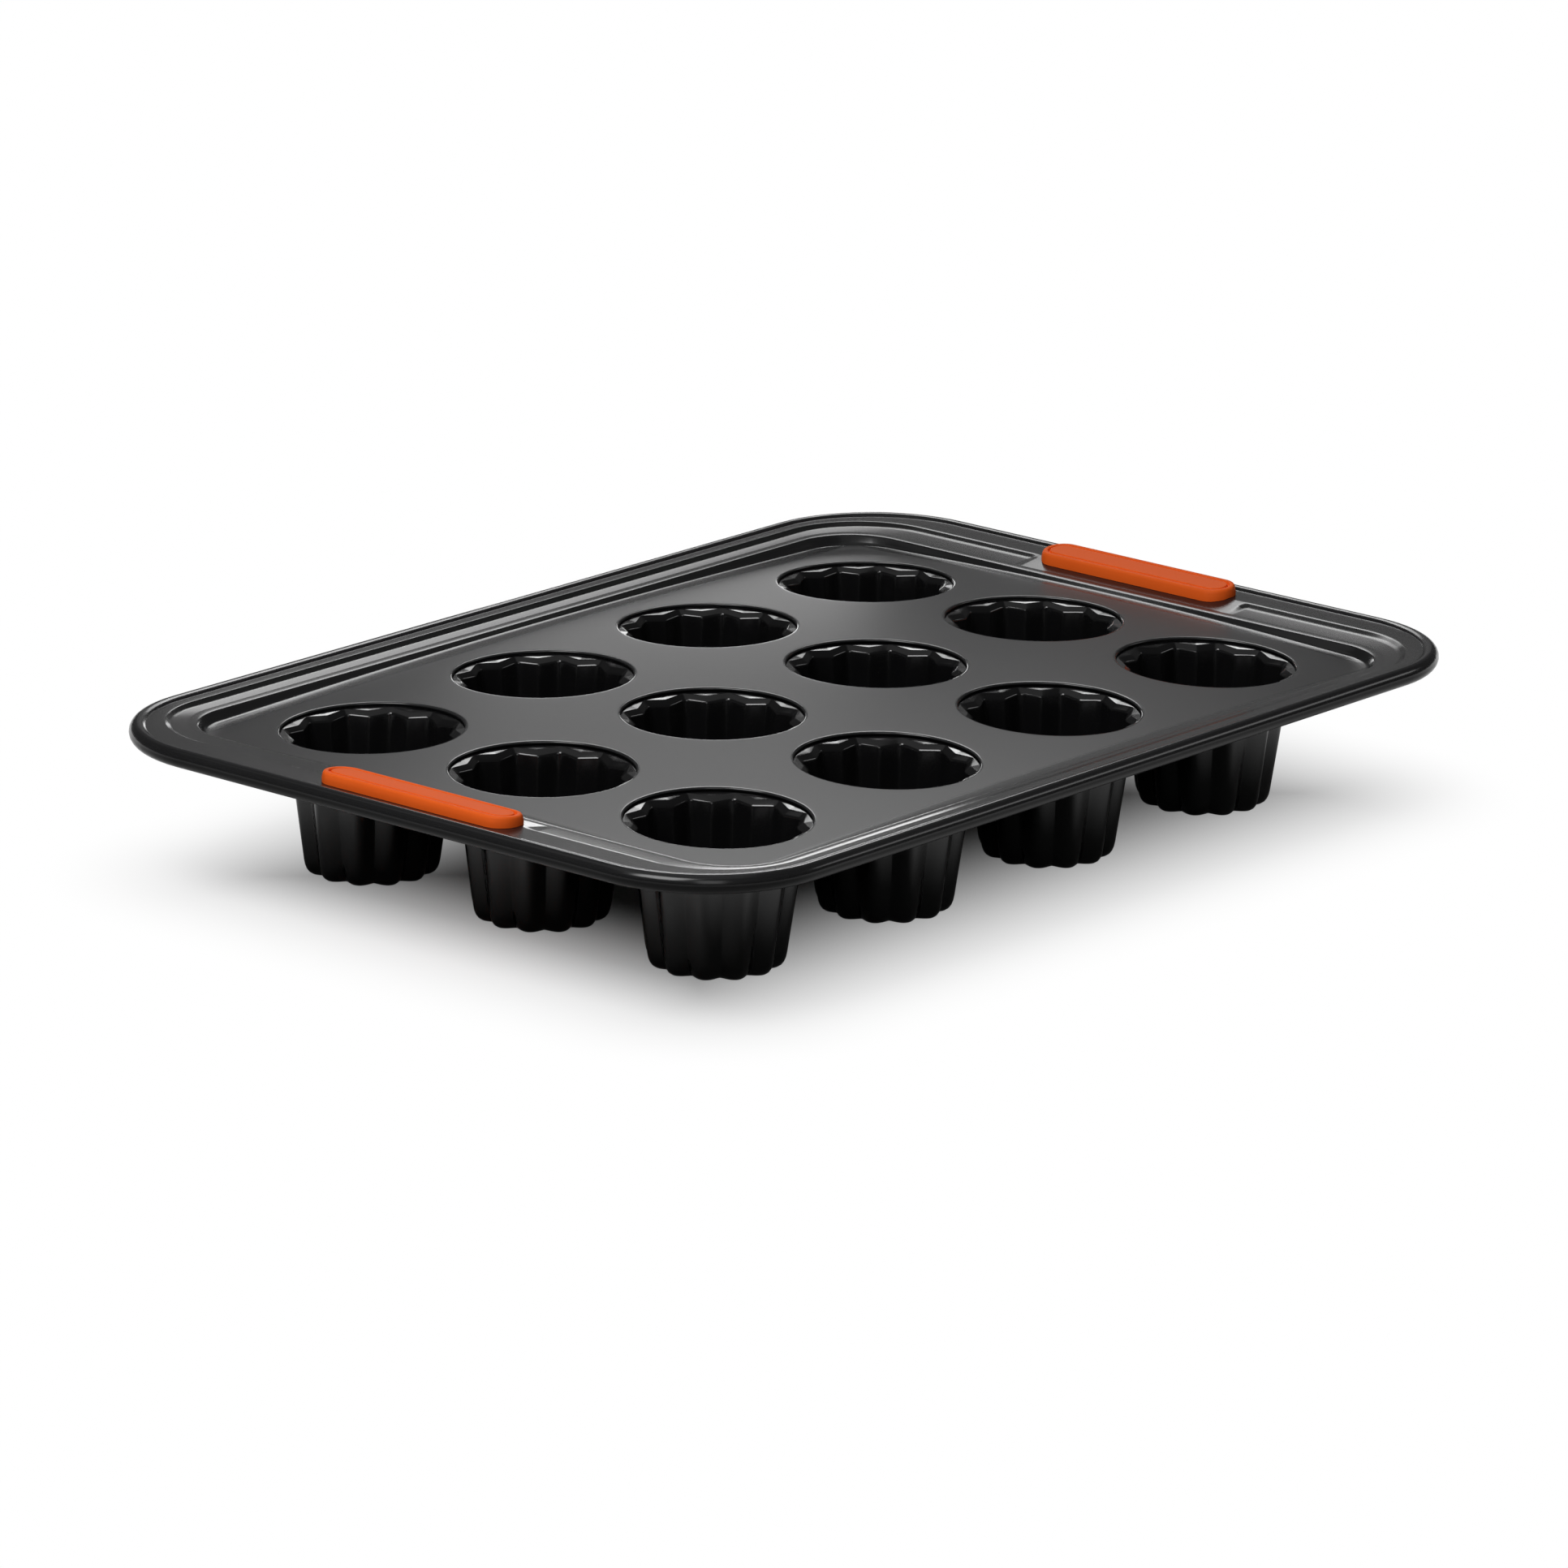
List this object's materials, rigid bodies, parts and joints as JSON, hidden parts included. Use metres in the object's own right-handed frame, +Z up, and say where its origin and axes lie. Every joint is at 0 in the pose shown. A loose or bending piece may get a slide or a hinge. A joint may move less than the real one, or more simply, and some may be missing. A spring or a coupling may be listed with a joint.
{
  "type": "canele pan",
  "caption": "Coated steel baking tray with a wired rolled rim, deep fluted cups fixed under its holes in a grid, and a soft grip set into each short end.",
  "frame": {"origin": "centre of the pan in plan, on the level of the cups' flat bottoms", "axes": "+X along the pan's length towards one grip, +Y across it, +Z up out of the cups' mouths"},
  "size_m": [0.3784, 0.2622, 0.0518],
  "materials": {
    "tray_coating": "satin charcoal non-stick coating",
    "cup_coating": "glossy near-black non-stick coating",
    "wire_steel": "drawn steel wire, hidden in the rim",
    "grip_silicone": "matte orange silicone"
  },
  "bodies": {
    "root": {"tray": "tray_coating", "rim_wire": "wire_steel", "cup_row1_column1": "cup_coating", "cup_row1_column2": "cup_coating", "cup_row1_column3": "cup_coating", "cup_row1_column4": "cup_coating", "cup_row2_column1": "cup_coating", "cup_row2_column2": "cup_coating", "cup_row2_column3": "cup_coating", "cup_row2_column4": "cup_coating", "cup_row3_column1": "cup_coating", "cup_row3_column2": "cup_coating", "cup_row3_column3": "cup_coating", "cup_row3_column4": "cup_coating", "grip_right": "grip_silicone", "grip_left": "grip_silicone"}
  },
  "joints": []
}
